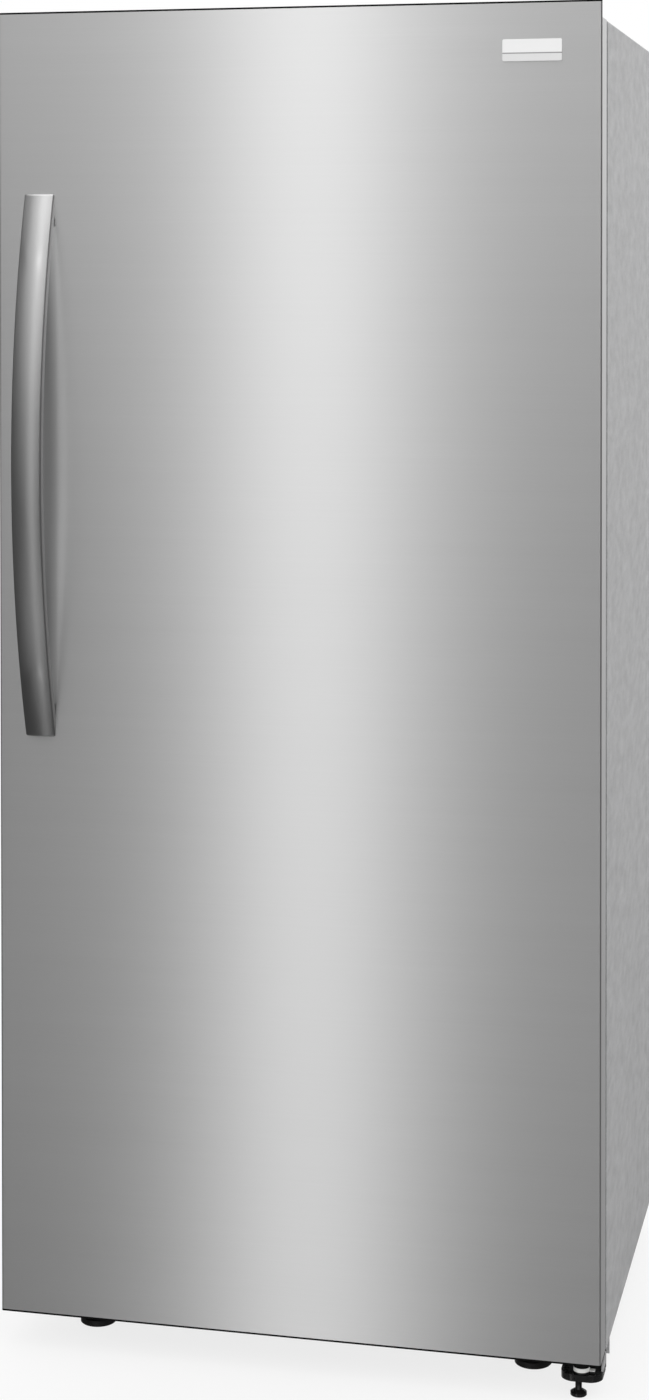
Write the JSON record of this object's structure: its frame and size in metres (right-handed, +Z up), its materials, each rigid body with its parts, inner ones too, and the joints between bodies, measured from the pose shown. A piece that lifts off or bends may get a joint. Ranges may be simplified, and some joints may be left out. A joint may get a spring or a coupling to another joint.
{
  "type": "single door refrigerator",
  "caption": "Upright single-door refrigerator with a brushed steel door, a long bowed bar handle, glass shelves, sliding drawers, door bins and a rear machine compartment.",
  "frame": {"origin": "on the floor under the middle of the bounding box, handle included", "axes": "+Z up, -Y to the door's front face, +X to the hinge side (right when facing the door)"},
  "size_m": [0.836, 0.716, 1.852],
  "materials": {
    "stainless": "satin brushed, horizontal grain",
    "cabinet_grey": "fine orange-peel grey paint",
    "plated_sheet": "dull plated sheet",
    "black_metal": "satin black",
    "black_steel": "satin black paint",
    "plated_steel": "bright plated",
    "white_plastic": "smooth white",
    "trim_plastic": "dark grey",
    "black_plastic": "black",
    "nylon": "natural nylon",
    "foam": "closed-cell foam",
    "gasket": "soft grey vinyl",
    "clear_plastic": "clear",
    "shelf_glass": "clear, green edges",
    "aluminium": "bare",
    "lens": "frosted",
    "satin_steel": "satin"
  },
  "bodies": {
    "cabinet": {"cabinet_wrapper": "cabinet_grey", "back_panel": "plated_sheet", "base_frame": "cabinet_grey", "cabinet_foam": "foam", "inner_liner": "white_plastic", "top_hinge": "plated_steel", "top_hinge_cover": "trim_plastic", "bottom_hinge_bracket": "black_steel", "bottom_hinge_pin": "plated_steel", "closer_cam": "nylon", "hinge_screws": "plated_steel", "air_duct_cover": "white_plastic", "evaporator": "aluminium", "evaporator_fan_motor": "black_plastic", "compressor": "black_steel", "condenser": "black_metal", "condenser_fan_motor": "plated_sheet", "drain_pan": "black_plastic", "machine_cover": "plated_sheet", "power_inlet": "black_plastic", "light_lens": "lens", "control_housing": "white_plastic", "shelf_frame_lower": "white_plastic", "shelf_frame_middle": "white_plastic", "shelf_frame_upper": "white_plastic", "shelf_glass_lower": "shelf_glass", "shelf_glass_middle": "shelf_glass", "shelf_glass_upper": "shelf_glass", "crisper_cover_frame": "white_plastic", "crisper_cover_glass": "shelf_glass", "crisper_rails": "white_plastic", "roller_brackets": "plated_steel"},
    "door": {"door_skin": "stainless", "door_foam": "foam", "door_liner": "white_plastic", "door_top_cap": "trim_plastic", "door_bottom_cap": "trim_plastic", "door_gasket": "gasket", "handle": "stainless", "badge_plate": "satin_steel", "door_bin_lowest": "clear_plastic", "door_bin_lower": "clear_plastic", "door_bin_upper": "clear_plastic", "dairy_bin": "clear_plastic"},
    "dairy_lid_body": {"dairy_lid": "clear_plastic"},
    "crisper_left_body": {"crisper_left": "clear_plastic"},
    "crisper_right_body": {"crisper_right": "clear_plastic"},
    "deli_drawer_body": {"deli_drawer": "clear_plastic"},
    "humidity_slider_left_body": {"humidity_slider_left": "white_plastic"},
    "humidity_slider_right_body": {"humidity_slider_right": "white_plastic"},
    "temperature_up_button_body": {"temperature_up_button": "trim_plastic"},
    "temperature_down_button_body": {"temperature_down_button": "trim_plastic"},
    "alarm_button_body": {"alarm_button": "trim_plastic"},
    "front_foot_left_body": {"front_foot_left": "black_plastic"},
    "front_foot_right_body": {"front_foot_right": "black_plastic"},
    "bracket_foot_body": {"bracket_foot": "black_plastic"},
    "rear_roller_left_body": {"rear_roller_left": "black_plastic"},
    "rear_roller_right_body": {"rear_roller_right": "black_plastic"},
    "evaporator_fan_body": {"evaporator_fan": "white_plastic"},
    "condenser_fan_body": {"condenser_fan": "black_plastic"}
  },
  "joints": [
    {"name": "door_hinge", "type": "hinge", "parent": "cabinet", "child": "door", "pos_m": [0.39, -0.272, 0.95], "axis": [0, 0, 1], "range_deg": [0, 110]},
    {"name": "dairy_lid_hinge", "type": "hinge", "parent": "door", "child": "dairy_lid_body", "pos_m": [0, -0.2368, 1.6401], "axis": [1, 0, 0], "range_deg": [0, 75]},
    {"name": "crisper_left_slide", "type": "slide", "parent": "cabinet", "child": "crisper_left_body", "axis": [0, -1, 0], "range_m": [0, 0.07]},
    {"name": "crisper_right_slide", "type": "slide", "parent": "cabinet", "child": "crisper_right_body", "axis": [0, -1, 0], "range_m": [0, 0.07]},
    {"name": "deli_drawer_slide", "type": "slide", "parent": "cabinet", "child": "deli_drawer_body", "axis": [0, -1, 0], "range_m": [0, 0.12]},
    {"name": "humidity_left_slide", "type": "slide", "parent": "cabinet", "child": "humidity_slider_left_body", "axis": [1, 0, 0], "range_m": [-0.018, 0.018]},
    {"name": "humidity_right_slide", "type": "slide", "parent": "cabinet", "child": "humidity_slider_right_body", "axis": [1, 0, 0], "range_m": [-0.018, 0.018]},
    {"name": "temperature_up_button_press", "type": "slide", "parent": "cabinet", "child": "temperature_up_button_body", "axis": [0, 1, 0], "range_m": [0, 0.0012], "stiffness_N_per_m": 300},
    {"name": "temperature_down_button_press", "type": "slide", "parent": "cabinet", "child": "temperature_down_button_body", "axis": [0, 1, 0], "range_m": [0, 0.0012], "stiffness_N_per_m": 300},
    {"name": "alarm_button_press", "type": "slide", "parent": "cabinet", "child": "alarm_button_body", "axis": [0, 1, 0], "range_m": [0, 0.0012], "stiffness_N_per_m": 300},
    {"name": "left_foot_turn", "type": "hinge", "parent": "cabinet", "child": "front_foot_left_body", "pos_m": [-0.312, -0.184, 0.01], "axis": [0, 0, 1], "continuous": true},
    {"name": "right_foot_turn", "type": "hinge", "parent": "cabinet", "child": "front_foot_right_body", "pos_m": [0.312, -0.184, 0.01], "axis": [0, 0, 1], "continuous": true},
    {"name": "bracket_foot_turn", "type": "hinge", "parent": "cabinet", "child": "bracket_foot_body", "pos_m": [0.386, -0.272, 0.01], "axis": [0, 0, 1], "continuous": true},
    {"name": "left_roller_spin", "type": "hinge", "parent": "cabinet", "child": "rear_roller_left_body", "pos_m": [-0.312, 0.313, 0.02], "axis": [1, 0, 0], "continuous": true},
    {"name": "right_roller_spin", "type": "hinge", "parent": "cabinet", "child": "rear_roller_right_body", "pos_m": [0.312, 0.313, 0.02], "axis": [1, 0, 0], "continuous": true},
    {"name": "evaporator_fan_spin", "type": "hinge", "parent": "cabinet", "child": "evaporator_fan_body", "pos_m": [0, 0.272, 0.676], "axis": [0, 1, 0], "continuous": true},
    {"name": "condenser_fan_spin", "type": "hinge", "parent": "cabinet", "child": "condenser_fan_body", "pos_m": [-0.013, 0.272, 0.1408], "axis": [1, 0, 0], "continuous": true}
  ]
}
